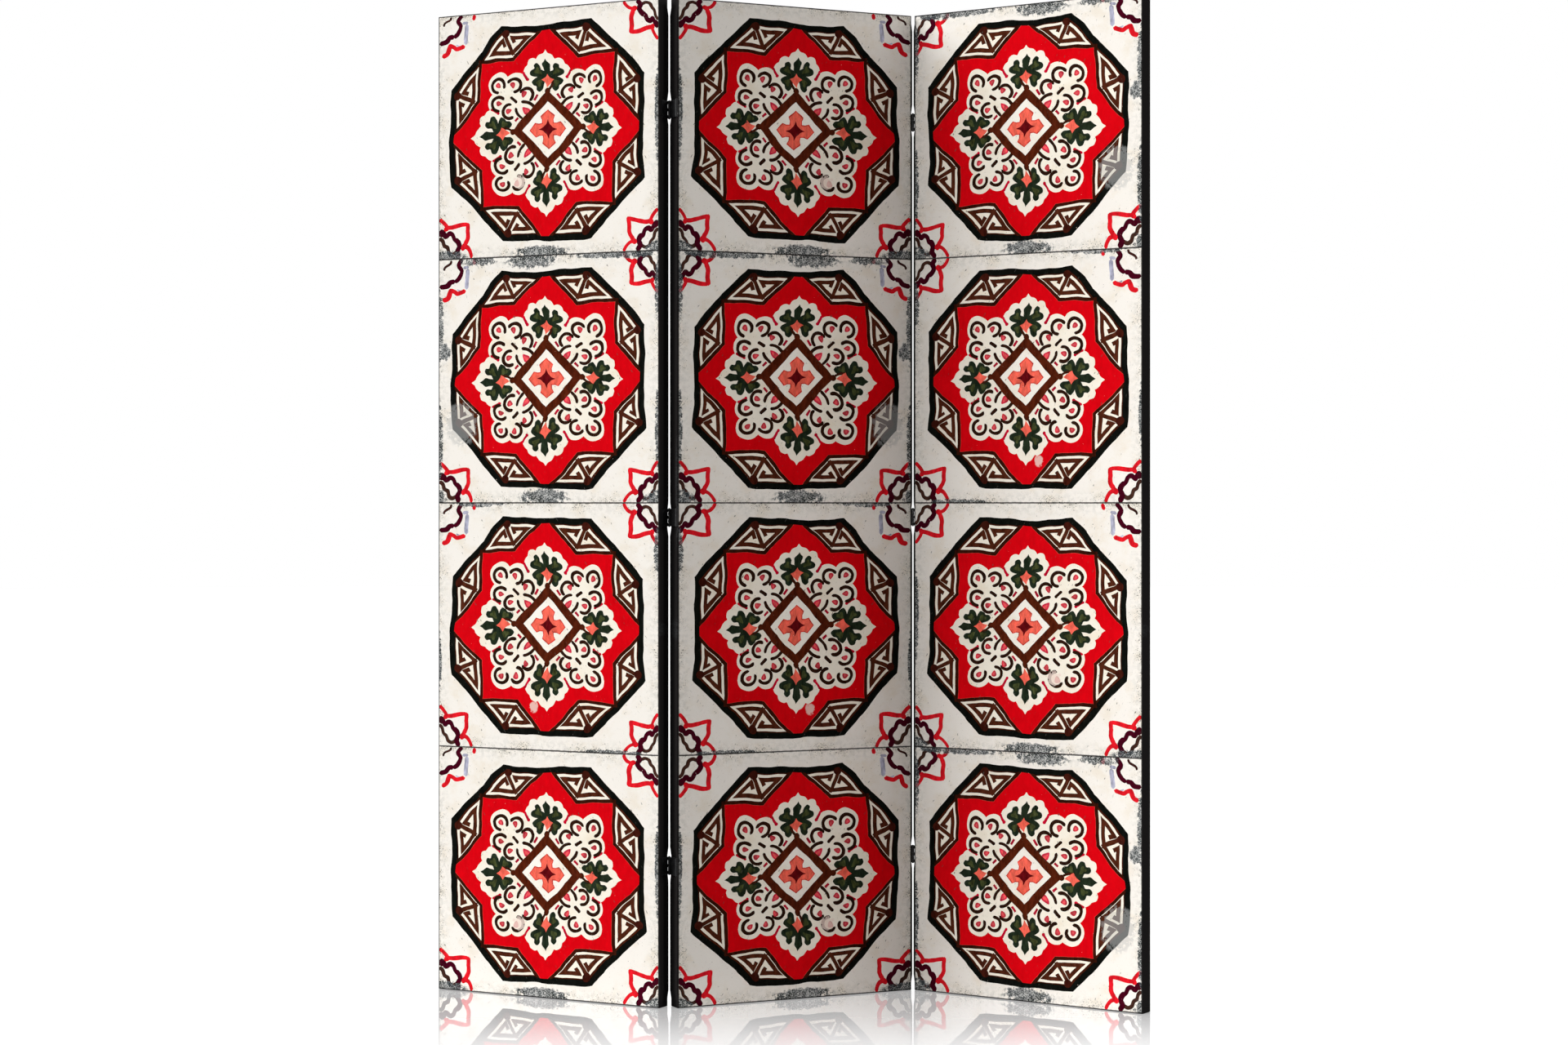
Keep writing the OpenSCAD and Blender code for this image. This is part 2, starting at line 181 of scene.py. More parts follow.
def drop(centre, length, width, angle, steps=16):
    """Teardrop: an ellipse that narrows towards the end that points at angle."""
    a = np.linspace(0, 2 * np.pi, steps, endpoint=False)
    x, y = length / 2 * np.cos(a), width / 2 * np.sin(a) * (1 - 0.45 * np.cos(a))
    c, s = np.cos(np.radians(angle)), np.sin(np.radians(angle))
    return np.asarray(centre) + np.stack([x * c - y * s, x * s + y * c], 1)


print("a stroke has", len(stroke(arc((0, 0), 0.06, 0, 180), 4 * MM)), "points")


# %% Repeats of a shape
def mirrors(points):
    """The shape in all four quarters of the tile."""
    return [np.asarray(points) * (sx, sy) for sy in (1, -1) for sx in (1, -1)]


def turns(points):
    """The shape at the top, left, bottom and right, each a quarter turn on."""
    p = np.asarray(points)
    return [p, np.stack([-p[:, 1], p[:, 0]], 1), -p, np.stack([p[:, 1], -p[:, 0]], 1)]


def eight(points):
    """The shape and its mirror image, at all four sides."""
    return [q for p in (points, np.asarray(points) * (-1, 1)) for q in turns(p)]


def round_tile(quarter):
    """An outline drawn for the first quarter, carried through all four."""
    p = np.asarray(quarter)
    return np.vstack([p[::s] * (x, y) for x, y, s in
                      ((1, 1, 1), (1, -1, -1), (-1, -1, 1), (-1, 1, -1))])


def octagon(inset=0.0):
    """The eight-sided border, this far inside its outer edge."""
    reach, flat = 0.877 - inset, 0.404 - 0.414 * inset
    return round_tile([(flat, reach), (reach, flat)])


def star(grow=0.0):
    """Square and diamond laid over each other. The diamond's points are cut off at the octagon."""
    tip, half, reach = 0.836, 0.592 + grow, 0.868 + 1.414 * grow
    return round_tile([(reach - tip, tip), (reach - half, half), (half, half),
                       (half, reach - half), (tip, reach - tip)])


print("octagon", octagon().round(3).tolist()[:2])

# %% Paints
GROUND, CREAM, PAPER = (241, 236, 228), (243, 236, 221), (245, 240, 230)
RED, BLACK, BROWN = (213, 5, 18), (14, 16, 13), (66, 26, 12)
INK, GREEN, OLIVE, CORAL = (42, 22, 13), (32, 42, 29), (62, 68, 38), (240, 102, 84)
ROSE, PINK = (194, 50, 64), (214, 78, 84)
MAROON, WINE, VERMILION, LILAC = (96, 12, 18), (66, 5, 24), (218, 26, 38), (172, 172, 192)
shapes = []  # (colour, outline), the first painted lies lowest


def paint(colour, outlines):
    """Lay the outlines on in this colour, over what is there."""
    shapes.extend((colour, np.asarray(o, float)) for o in outlines)


# %% [markdown]
# ### Corner flowers
# Each corner of the tile has a quarter of a flower, so that four tiles make a whole one. It is a
# red pointed arch, a wine-red wavy ring and a brown ring, in quick strokes. One corner is worn.

# %% Corner flowers
def from_corner(points):
    """Millimetres from the tile's corner, to the tile's own measure."""
    return 1 - np.asarray(points, float) / (HALF_TILE * 1000)


ARCH = [([(1, 71), (7, 66), (13, 59), (18, 51)], 7), ([(13, 46), (17, 55)], 10),
        ([(14, 52), (26, 52), (42, 55), (61, 57)], 8),
        ([(60, 60), (59, 45), (59, 32), (52, 19)], 8.8), ([(57, 22), (50, 17), (45, 15)], 10),
        ([(51, 18), (60, 15), (66, 9), (70, 0.5)], 6.6)]
RING = [([(0.5, 50), (8, 46), (14, 37), (20, 41), (27, 39), (31, 31), (38, 26)], 8.6),
        ([(31, 31), (37, 27), (41, 19), (38, 10), (44, 0.5)], 10),
        ([(0.5, 48), (6, 45), (13, 42)], 12)]
INNER = [([(0.5, 38), (7, 32), (10, 23), (16, 18), (20, 10), (28, 7), (37, 11)], 6.6)]
WORN = [(LILAC, [([(59, 20), (58, 36), (56, 54)], 8), ([(50, 18), (62, 17)], 6),
                 ([(52, 56), (42, 56), (34, 53)], 3)]),
        ((64, 34, 30), [([(27, 2), (24, 8), (13, 13), (10, 19)], 4.4)]),
        (WINE, [([(50, 0.5), (41, 12), (46, 22), (40, 34), (30, 40)], 8.4),
                ([(31, 39), (22, 39), (14, 46), (1, 49)], 9)]),
        (VERMILION, [([(76, 1), (73, 13)], 7), ([(20, 52), (28, 56), (36, 60), (54, 56)], 8),
                     ([(24, 50), (19, 58), (15, 68), (6, 72)], 8.6)])]
for sx, sy in ((-1, 1), (-1, -1), (1, -1)):
    for colour, lines in (((66, 40, 32), INNER), (WINE, RING), (VERMILION, ARCH)):
        paint(colour, [stroke(from_corner(curve(line)) * (sx, sy), wide * MM)
                       for line, wide in lines])
for colour, lines in WORN:
    paint(colour, [stroke(from_corner(curve(line)), wide * MM) for line, wide in lines])
print(len(shapes), "strokes in the corners")

# %% [markdown]
# ### Octagon, frets and star
# The border is a black band with a brown one inside it. Between the star's points it has eight
# leaning cells, each with a fret: a stem from one corner, and a hook to each side of it.

# %% Octagon, frets and star
paint(BLACK, [octagon()])
paint(BROWN, [octagon(11 * MM)])
CELL = np.array([(-0.367, 0.818), (0.297, 0.001), (-0.206, -0.202)])  # corner and two sides


def in_cell(points):
    """From the cell's own measure, 0 to 1 along each of its two sides, to the tile's."""
    p = np.asarray(points, float)
    return CELL[0] + p[:, :1] * CELL[1] + p[:, 1:] * CELL[2]


paint(CREAM, eight(in_cell([(0, 0), (1, 0), (1, 1), (0, 1)])))
FRET = [[(0.02, 0.02), (0.82, 0.80)], [(0.90, 0.80), (0.165, 0.80), (0.185, 0.31), (0.43, 0.56)],
        [(0.835, 0.87), (0.835, 0.185), (0.38, 0.185), (0.60, 0.39)]]
for line in FRET:
    paint((74, 34, 20), eight(band(in_cell(line), 7.2 * MM)))
paint((60, 22, 14), eight(disc(in_cell([(0.06, 0.03)])[0], 7.6 * MM, 14)))
paint((52, 20, 10), [star(6.4 * MM)])
paint((196, 66, 58), [star(0.5 * MM)])
paint(RED, [star()])
print(len(shapes), "shapes with the star")

# %% [markdown]
# ### White flower
# The white ground of the flower is four palmettes with a small point, and four round clusters
# between them. They overlap, so their outlines need not meet.

# %% White flower
LOBES = np.vstack([curve([(0, 0.684), (0.022, 0.655), (0.055, 0.638), (0.083, 0.600)])[:-1],
                   curve([(0.083, 0.600), (0.112, 0.606), (0.148, 0.592), (0.166, 0.555)])[:-1],
                   curve([(0.166, 0.555), (0.192, 0.530), (0.203, 0.490), (0.190, 0.440)])])
paint(CREAM, turns(np.vstack([LOBES, [(0.12, 0.30), (-0.12, 0.30)], (LOBES * (-1, 1))[::-1][:-1]])))
paint(CREAM, [round_tile([(0.19, 0.44), (0.42, 0.42), (0.44, 0.19)])])
for spot, size in (((0.415, 0.410), 0.102), ((0.268, 0.401), 0.099), ((0.421, 0.249), 0.099)):
    paint(CREAM, mirrors(disc(spot, size, 32)))
HOOK = curve([(0.208, 0.502), (0.190, 0.466), (0.168, 0.432)])
for hook in (HOOK, HOOK[:, ::-1]):
    paint((192, 10, 44), mirrors(stroke(hook, 4.4 * MM, 0.8)) + mirrors(disc(hook[-1], 3 * MM, 12)))
print(len(shapes), "shapes with the white flower")

# %% [markdown]
# ### Petals
# Each cluster has five petals round a knot: a dark open ring, and a rose drop in it that points at
# the knot. Two more strokes and a large drop lead to the middle of the tile.

# %% Petals
# the ring's centre, the drop's, the drop's angle, the ring's two ends and its radius
PETALS = [((0.423, 0.402), (0.421, 0.403), 225, -98, 214, 0.0575),
          ((0.279, 0.397), (0.290, 0.399), 262, 18, 280, 0.056),
          ((0.423, 0.244), (0.419, 0.248), 188, -98, 150, 0.060),
          ((0.178, 0.302), (0.197, 0.313), 290, 25, 246, 0.056),
          ((0.328, 0.172), (0.334, 0.176), 165, -128, 112, 0.058)]
for spot, heart, angle, start, stop, size in PETALS:
    paint(INK, mirrors(stroke(arc(spot, size, start, stop, 26), 6 * MM, 1.4)))
    paint(ROSE, mirrors(drop(heart, 12 * MM, 9.4 * MM, angle)))
    paint(PINK, mirrors(drop(heart, 6.4 * MM, 4.4 * MM, angle, 12)))
paint(INK, mirrors(stroke(curve([(0.256, 0.246), (0.283, 0.270), (0.312, 0.295)]), 6 * MM, 0.6)))
for line in ([(0.224, 0.252), (0.190, 0.249), (0.150, 0.230), (0.110, 0.192)],
             [(0.272, 0.202), (0.263, 0.166), (0.246, 0.136), (0.214, 0.104)]):
    paint(INK, mirrors(stroke(curve(line), 5.6 * MM, 1.5)))
paint((204, 44, 70), mirrors(drop((0.186, 0.178), 18 * MM, 11 * MM, 45)))
paint((226, 84, 86), mirrors(drop((0.182, 0.174), 11 * MM, 5 * MM, 45)))
for line in ([(0.083, 0.294), (0.113, 0.250)], [(0.250, 0.113), (0.284, 0.084)]):
    paint((168, 18, 44), mirrors(band(line, 4.2 * MM)))
print(len(shapes), "shapes with the petals")

# %% [markdown]
# ### Leaves, buds and the middle
# Each palmette holds five dark green leaves with a coral bud on them. In the middle of the tile a
# brown diamond frames a coral cross with a dark four-pointed star.

# %% Leaves and buds
STEM = curve([(0, 0.612), (0.014, 0.588), (0.035, 0.562), (0.031, 0.525), (0.028, 0.490),
              (0.034, 0.450)])
paint(GREEN, turns(np.vstack([STEM, (STEM * (-1, 1))[::-1][:-1]])))
for leaf in ([(0.010, 0.430), (0.030, 0.490), (0.058, 0.508), (0.060, 0.538), (0.083, 0.558),
              (0.108, 0.542), (0.108, 0.516), (0.138, 0.502), (0.142, 0.474), (0.118, 0.456),
              (0.075, 0.446)],
             [(0.010, 0.455), (0.060, 0.444), (0.100, 0.430), (0.126, 0.404), (0.112, 0.376),
              (0.094, 0.366), (0.090, 0.340), (0.066, 0.324), (0.042, 0.344), (0.036, 0.380)]):
    leaf = np.array(leaf)
    middle = leaf.mean(0)
    paint(GREEN, eight(curve(middle + 1.12 * (leaf - middle), True, 4)))
    paint(OLIVE, eight(curve(middle + 0.50 * (leaf - middle), True, 3)))
paint((58, 26, 14), turns(stroke(curve([(-0.045, 0.415), (-0.03, 0.36), (-0.004, 0.315)]), 4.4 * MM,
                                 0.6)))
paint((246, 214, 190), turns(band([(0.006, 0.40), (0.006, 0.325)], 3.6 * MM)))
BUD = [curve(side)[:-1] for side in
       ([(0, 0.470), (0.018, 0.438), (0.052, 0.414)],
        [(0.052, 0.414), (0.024, 0.392), (0.006, 0.345)],
        [(0.006, 0.345), (-0.026, 0.385), (-0.052, 0.420)],
        [(-0.052, 0.420), (-0.020, 0.440), (0, 0.470)])]
paint(CORAL, turns(np.vstack(BUD)))
print(len(shapes), "shapes with the leaves")


# %% The middle of the tile
def cross(inset=0.0):
    """Cross of four pointed arms, this far inside its outer edge."""
    arm = np.array([(0, 0.166 - 1.3 * inset), (0.062 - inset, 0.112 - inset),
                    (0.050 - inset, 0.080), (0.052 - inset, 0.052 - inset), (0.080, 0.050 - inset),
                    (0.112 - inset, 0.062 - inset)])
    return np.vstack([arm, turns(arm)[3], -arm, turns(arm)[1]])


paint(BROWN, turns(disc((0, 0.318), 5.5 * MM, 12)))
for reach, colour in ((0.325, (80, 30, 14)), (0.2325, PAPER)):
    paint(colour, [[(0, reach), (reach, 0), (0, -reach), (-reach, 0)]])
paint((206, 54, 48), [cross()])
paint(CORAL, [cross(1.6 * MM)])
SPIKE = curve([(0, 0.086), (0.012, 0.050), (0.030, 0.030), (0.050, 0.012), (0.086, 0)])[:-1]
paint(MAROON, [np.vstack([SPIKE, turns(SPIKE)[3], -SPIKE, turns(SPIKE)[1]])])
print(len(shapes), "shapes in the tile")

# %% [markdown]
# ## From shapes to one mesh
# A hand-drawn line is never quite straight, so the whole drawing is pushed about by a smooth wave,
# which is still at the tile's edges. Then a constrained triangulation cuts the tile along every
# outline, and each triangle takes the colour of the topmost shape over its middle. Flat shapes
# laid above each other would be simpler, but they flicker and cast shadows.

# %% An unsteady hand
CHANCE = np.random.default_rng(7)  # the same numbers in each run


def finer(outline, longest=0.03):
    """The closed outline, with long sides cut into equal steps."""
    after = np.roll(outline, -1, 0)
    count = np.maximum(1, np.ceil(np.hypot(*(after - outline).T) / longest).astype(int))
    which = np.repeat(np.arange(len(outline)), count)
    part = np.concatenate([np.arange(c) / c for c in count])[:, None]
    return outline[which] * (1 - part) + after[which] * part


def waves(lengths):
    """Sine waves of these lengths, and heights in millimetres, in directions drawn at random."""
    out = []
    for length, size in lengths:
        turn = CHANCE.uniform(0, 2 * np.pi, 2)
        out.append((size * MM, 2 * np.pi / length * np.array([np.cos(turn), np.sin(turn)]),
                    CHANCE.uniform(0, 2 * np.pi, 2)))
    return out


def swayed(points, hand):
    """Points moved by a sum of sines across the tile, faded out within a tenth of its edge."""
    fade = np.clip((1 - np.abs(points)) / 0.1, 0, 1).min(1, keepdims=True)
    return points + fade * sum(size * np.sin(points @ way + start) for size, way, start in hand)


HAND = waves(((1.1, 1.9), (0.5, 1.1), (0.28, 0.6), (0.16, 0.35), (0.07, 0.22), (0.04, 0.14)))
drawn = [(colour, np.clip(swayed(finer(outline), HAND), -0.999, 0.999))
         for colour, outline in shapes]
print(sum(len(o) for _, o in drawn), "points in the drawing")


# %% Cut the tile along the outlines
def linear(colour):
    """Colour from 0 to 255 as it is shown, to the light that the shader works with."""
    c = np.asarray(colour, float) / 255
    return np.where(c <= 0.04045, c / 12.92, ((c + 0.055) / 1.055) ** 2.4)


def inside(points, outline):
    """Points whose winding number isn't zero: a side that crosses their level counts up or down."""
    wound = np.zeros(len(points), int)
    x, y = points.T
    for (x0, y0), (x1, y1) in zip(outline, np.roll(outline, -1, 0)):
        if y0 == y1:
            continue
        cross_x = x0 + (y - y0) * (x1 - x0) / (y1 - y0)
        wound += ((y0 <= y) & (y < y1) & (cross_x > x)).astype(int)
        wound -= ((y1 <= y) & (y < y0) & (cross_x > x)).astype(int)
    return wound != 0


SIDE_STEPS = 30  # along each side of the tile
edge, one = np.linspace(-1, 1, SIDE_STEPS + 1)[:-1], np.ones(SIDE_STEPS)
rim = np.vstack([np.stack(pair, 1) for pair in
                 ((edge, -one), (one, edge), (-edge, one), (-one, -edge))])
rings = [rim] + [outline for _, outline in drawn]
starts = np.cumsum([0] + [len(r) for r in rings])
loops = [np.stack([np.arange(a, b), np.r_[a + 1:b, a]], 1) for a, b in zip(starts, starts[1:])]
cut = delaunay_2d_cdt([Vector(p) for p in np.vstack(rings)], np.vstack(loops).tolist(), [], 0, 1e-6)
tile_points = np.array([tuple(p) for p in cut[0]])
tile_faces = np.array([f for f in cut[2] if len(f) == 3])
a, b, c = (tile_points[tile_faces[:, k]] for k in range(3))
area = (b[:, 0] - a[:, 0]) * (c[:, 1] - a[:, 1]) - (b[:, 1] - a[:, 1]) * (c[:, 0] - a[:, 0])
tile_faces[area < 0] = tile_faces[area < 0][:, ::-1]
tile_faces = tile_faces[np.abs(area) > 1e-12]
print(len(tile_points), "vertices and", len(tile_faces), "triangles in a tile")

# %% Colour each triangle
BRUSHED = {CREAM: 0.0, PAPER: 0.0, RED: 0.14, GREEN: 0.9, OLIVE: 1.3, CORAL: 0.5, WINE: 0.35,
           VERMILION: 0.5}  # how much the brush shows in each paint
BRUSHED_ELSE = 0.8
middles = tile_points[tile_faces].mean(1)
tile_ink = np.tile(np.r_[linear(GROUND), 0.0], (len(middles), 1))
for colour, outline in drawn:
    low, high = outline.min(0), outline.max(0)
    near = np.flatnonzero(((middles >= low) & (middles <= high)).all(1))
    hit = near[inside(middles[near], outline)]
    tile_ink[hit] = np.r_[linear(colour), BRUSHED.get(colour, BRUSHED_ELSE)]
print(len(np.unique(tile_ink, axis=0)), "colours")

# %% [markdown]
# ## The printed canvases
# A panel's print is four tiles whose edges match, mirrored on the left panel and each swayed once
# more in its own way. At the frame's edge the canvas is black and goes round: a rounded corner,
# the side, another corner, and a flap behind. A simulation could bend it there, but it is held all
# round, so a profile carried round the rectangle is enough, with mitred corners. In the folds of
# the screen it stands a little off the frame, except where the hinges hold it down.

# %% Front of a panel
ROUND = 0.0008  # radius where the canvas goes round the frame's edge
DRAWN_IN = 0.015  # strip of the print that is drawn in to make room for it
KINDS = {"left": (0, 2, 1, 0), "middle": (0, 2, 1, 0), "right": (1, 0, 2, 1)}  # from the floor
SWAY = ((1.7, 1.9), (0.8, 1.0), (0.4, 0.4))  # lengths and heights of a tile's own waves
BAKE_CELL, BAKE_FILL = 0.47, 0.98  # a tile's cell in the map for baking, and its share of it


def front(mirror, kinds):
    """Four tiles as one mesh, each swayed. A strip at the rim is drawn in by the edge's radius. The
    tile's own coordinates go into one UV map, with 4 added for each kind of ageing, and its cell of
    four into another, for baking."""
    points, faces, design, bake = [], [], [], []
    for row in range(ROWS):
        place = swayed(tile_points, waves(SWAY)) * (mirror, 1) * HALF_TILE
        place[:, 1] += HIGH / ROWS * (row + 0.5)
        points.append(place)
        turn = tile_faces if mirror > 0 else tile_faces[:, ::-1]
        faces.append(turn + row * len(tile_points))
        corners = tile_points[turn].reshape(-1, 2)
        design.append(corners + (4 * kinds[row], 0))
        cell = (corners * (mirror, 1) * BAKE_FILL + 1) / 2
        bake.append((cell + (row % 2, row // 2)) * BAKE_CELL)
    points, faces = np.vstack(points), np.vstack(faces)
    off = points - (0, HIGH / 2)
    rim = np.clip(np.abs(off) - (HALF_PANEL - DRAWN_IN), 0, None) / DRAWN_IN
    off -= np.sign(off) * rim * ROUND
    points = off + (0, HIGH / 2)
    _, keep, same = np.unique(points.round(7), axis=0, return_index=True, return_inverse=True)
    return points[keep], same.reshape(-1)[faces], np.vstack(design), np.vstack(bake)


def rim_loop(points):
    """The rim's vertices, anticlockwise as the viewer sees them, and the number of their side."""
    half = HALF_PANEL - ROUND
    off = points - (0, HIGH / 2)
    out = []
    for axis, sign, run in ((1, -1, 1), (0, 1, 1), (1, 1, -1), (0, -1, -1)):
        on = np.flatnonzero(np.abs(off[:, axis] - sign * half[axis]) < 1e-6)
        on = on[np.argsort(run * off[on, 1 - axis])]
        out.append(on[:-1])
    return np.concatenate(out), np.repeat(np.arange(4), [len(o) for o in out])


# %% Profile of the part that goes round the frame
FLAP = 0.025  # how far the canvas is turned in behind
bend = np.radians(np.arange(15, 91, 15))
PROFILE = np.vstack([[(0, 0)], np.stack([ROUND * np.sin(bend), ROUND * (1 - np.cos(bend))], 1),
                     [(ROUND, d) for d in (0.002, 0.008, 0.0146, 0.0212, DEEP - ROUND)],
                     np.stack([ROUND * np.cos(bend), DEEP - ROUND + ROUND * np.sin(bend)], 1),
                     [(-0.004, DEEP), (-0.010, DEEP), (-0.016, DEEP), (ROUND - FLAP, DEEP)]])
along = np.r_[0, np.cumsum(np.hypot(*np.diff(PROFILE, axis=0).T))]
print("canvas beyond the front:", along[-1].round(4), "m")

# %% Front and wrap as one sheet
BLACK_TO = 0.044  # metres along the profile
EDGE_BLACK, BARE_CANVAS = (3, 3, 3), (214, 205, 188)
HINGES = (0.240, 0.835, 1.532)  # heights of their middles
FOLDS = {"left": (1,), "middle": (-1, 1), "right": (-1,)}  # sides with a fold, 1 for the right
STAND_OFF, OFF_BY = 0.0022, 0.0004  # off the frame in the folds, from this depth on
HELD, EASED = 0.018, 0.008  # held this far from a hinge or an end, then let go over this
STRIP_AT, STRIP_STEP, STRIP_WIDE = 0.946, 0.027, 0.024  # in the map for baking
STRIP_START, SIDE_STRIP, END_STRIP = 0.005, 0.99, 0.93  # where a strip starts, and lengths


def printed_canvas(panel, mirror):
    """Front and wrap as one sheet. Ring k is the rim, scaled outward by the profile's offset. The
    wrap's sides are strips in the map for baking."""
    flat, faces, design, bake = front(mirror, KINDS[panel])
    loop, side = rim_loop(flat)
    half = HALF_PANEL - ROUND
    off = flat[loop] - (0, HIGH / 2)
    high = off[:, 1] + HIGH / 2
    away = np.min([np.abs(high - h) for h in (0, HIGH, *HINGES)], 0)
    loose = np.clip((away - HELD) / EASED, 0, 1) * np.isin(np.sign(off[:, 0]), FOLDS[panel])
    rings = [np.stack([off[:, 0] * (1 + (o + STAND_OFF * loose * min(d / OFF_BY, 1)) / half[0]),
                       np.full(len(loop), d), off[:, 1] * (1 + o / half[1]) + HIGH / 2], 1)
             for o, d in PROFILE[1:]]
    points = np.vstack([np.stack([flat[:, 0], np.zeros(len(flat)), flat[:, 1]], 1)] + rings)
    n, m = len(loop), len(PROFILE)
    index = np.vstack([loop, len(flat) + np.arange(n * (m - 1)).reshape(m - 1, n)])
    after = np.roll(index, -1, 1)
    quads = np.stack([index[:-1], index[1:], after[1:], after[:-1]], 2).reshape(-1, 4)
    rung = np.repeat(np.arange(m - 1), n)
    which = np.tile(side, m - 1)
    # unfolded: the run along the rim, and how far beyond it
    run = np.stack([off, np.roll(off, -1, 0)], 1)  # start and end of each rim step
    run = np.tile(run[:, [0, 0, 1, 1]], (m - 1, 1, 1))
    beyond = along[np.stack([rung, rung + 1, rung + 1, rung], 1)]
    upright = (which % 2 == 1)[:, None]
    t = np.where(upright, run[..., 1], run[..., 0])
    sheet = run / HALF_TILE
    sign = np.array([-1, 1, 1, -1])[which][:, None]
    sheet[..., 0] = np.where(upright, sign * (1 + beyond / HALF_TILE[0]), sheet[..., 0])
    sheet[..., 1] = np.where(upright, sheet[..., 1], 1 + beyond / HALF_TILE[1])
    span = np.where(upright, t / HIGH, t / WIDE) + 0.5
    slot = STRIP_AT + STRIP_STEP * (which // 2)[:, None] + beyond / along[-1] * STRIP_WIDE
    strips = np.where(upright[..., None], np.stack([slot, span * SIDE_STRIP + STRIP_START], 2),
                      np.stack([span * END_STRIP + STRIP_START, slot], 2))
    colours = np.where((along[rung + 1] <= BLACK_TO)[:, None], np.r_[linear(EDGE_BLACK), 0.1],
                       np.r_[linear(BARE_CANVAS), 0.0])
    ink = np.vstack([np.repeat(ink_of_front, 3, 0), np.repeat(colours, 4, 0)])
    return sheet_object(panel + "_panel_print", stood(points, panel), [faces, quads],
                        np.r_[np.zeros(len(faces), bool), np.ones(len(quads), bool)],
                        {"print": np.vstack([design, sheet.reshape(-1, 2)]),
                         "OFBake": np.vstack([bake, strips.reshape(-1, 2)])}, ink)


ink_of_front = np.tile(tile_ink, (ROWS, 1))
prints = {}
for panel in PANELS:
    prints[panel] = printed_canvas(panel, -1 if panel == "left" else 1)
    print(prints[panel].name, len(prints[panel].data.polygons), "faces")

# %% [markdown]
# ## The cloth on the back
# Behind, a plain off-white cloth is stapled over the canvas's flap to close the panel. Its edge is
# turned under, it is pulled down at each staple and stands up a little between them, and it is
# not quite flat over the open frame. A cloth simulation would find these forms, but they are slight
# and regular, so a grid of heights gives them too.

# %% Back cloth
CLOTH_IN = 0.006  # from the panel's edge
UNDER, THICK, HEM = 0.00005, 0.00045, 0.0009  # air under it, its thickness, its hem's radius
STAPLE_ROW, STAPLE_END, STAPLE_GAP = 0.012, 0.040, 0.060  # in from the edge, first, and apart
STAPLE_REACH = 0.009  # how far from the row the cloth is pulled down
BULGE, SLACK = 0.0006, 0.0003  # its height between staples, and of the waves
OPEN_FROM, OPEN_OVER = 0.045, 0.08  # the waves start this far in, and grow over this
CLOSE_STEPS, CLOSE_TO = np.array([0, 0.0006, 0.0015, 0.003, 0.006, 0.010, 0.014, 0.020]), 0.030


def back_cloth(panel):
    """Height over the frame: a hem that falls at the edge, less a dimple at each staple, plus slow
    waves in the middle. The grid is closer at the edges."""
    def spread(size, count):
        """Places along a side, with close steps near both ends."""
        inner = np.linspace(CLOSE_TO, size - CLOSE_TO, count)
        return np.r_[CLOSE_STEPS, inner, (size - CLOSE_STEPS)[::-1]]

    def lifted(run, size):
        """1 halfway between two staples, 0 at each."""
        gaps = round((size - 2 * STAPLE_END) / STAPLE_GAP)
        return np.sin(np.pi * ((run - STAPLE_END) / ((size - 2 * STAPLE_END) / gaps))) ** 2

    x, z = spread(WIDE - 2 * CLOTH_IN, 60), spread(HIGH - 2 * CLOTH_IN, 230)
    gx, gz = np.meshgrid(x + CLOTH_IN - WIDE / 2, z + CLOTH_IN)
    to_x, to_z = WIDE / 2 - np.abs(gx), HIGH / 2 - np.abs(gz - HIGH / 2)
    edge = np.minimum(to_x, to_z)
    hem = np.sqrt(np.clip(1 - (1 - (edge - CLOTH_IN) / HEM) ** 2, 0, 1))
    hem = np.where(edge - CLOTH_IN > HEM, 1, hem)
    on_sides = lifted(gz, HIGH) * np.exp(-((to_x - STAPLE_ROW) / STAPLE_REACH) ** 2)
    on_ends = lifted(gx + WIDE / 2, WIDE) * np.exp(-((to_z - STAPLE_ROW) / STAPLE_REACH) ** 2)
    bulge = BULGE * np.maximum(on_sides, on_ends)
    start = {"left": 0.0, "middle": 2.1, "right": 4.4}[panel]
    open_part = np.clip((edge - OPEN_FROM) / OPEN_OVER, 0, 1)
    slack = SLACK * open_part * (np.sin(gz * 7 + start) + np.sin(gz * 13 + gx * 9 + start))
    y = DEEP + UNDER + THICK * hem + bulge * hem + slack
    points = np.stack([gx, y, gz], 2).reshape(-1, 3)
    k = np.arange(gx.size).reshape(gx.shape)
    quads = np.stack([k[:-1, :-1], k[1:, :-1], k[1:, 1:], k[:-1, 1:]], 2).reshape(-1, 4)
    metric = np.stack([gx, gz], 2).reshape(-1, 2)[quads].reshape(-1, 2)
    return sheet_object(panel + "_panel_back", stood(points, panel), [quads],
                        np.ones(len(quads), bool),
                        {"cloth": metric, "OFBake": metric / HIGH + (0.5, 0)})


backs = {panel: back_cloth(panel) for panel in PANELS}
print(backs["left"].name, len(backs["left"].data.polygons), "faces")

# %% [markdown]
# ## Finishes
# A material is a tree of small nodes. The next helpers add one node at a time and hand back the
# socket that comes out of it, so that a tree can be written as a sum.

# %% Helpers for nodes
def fill(tree, item, sockets):
    """A node's inputs linked, or set where the value is a plain number, colour or vector."""
    for key, value in sockets.items():
        if isinstance(value, bpy.types.NodeSocket):
            tree.links.new(value, item.inputs[key])
        else:
            item.inputs[key].default_value = value


def add(tree, kind, sockets=None, out=0, **settings):
    """A new node with its settings and its inputs, and one output returned."""
    item = tree.nodes.new(kind)
    for key, value in settings.items():
        setattr(item, key, value)
    fill(tree, item, sockets or {})
    return item.outputs[out]


def calc(tree, how, *values):
    """One step of arithmetic."""
    return add(tree, "ShaderNodeMath", dict(enumerate(values)), operation=how)


def times(tree, first, second):
    """Two values multiplied."""
    return calc(tree, "MULTIPLY", first, second)


def plus(tree, first, second):
    """Two values added."""
    return calc(tree, "ADD", first, second)


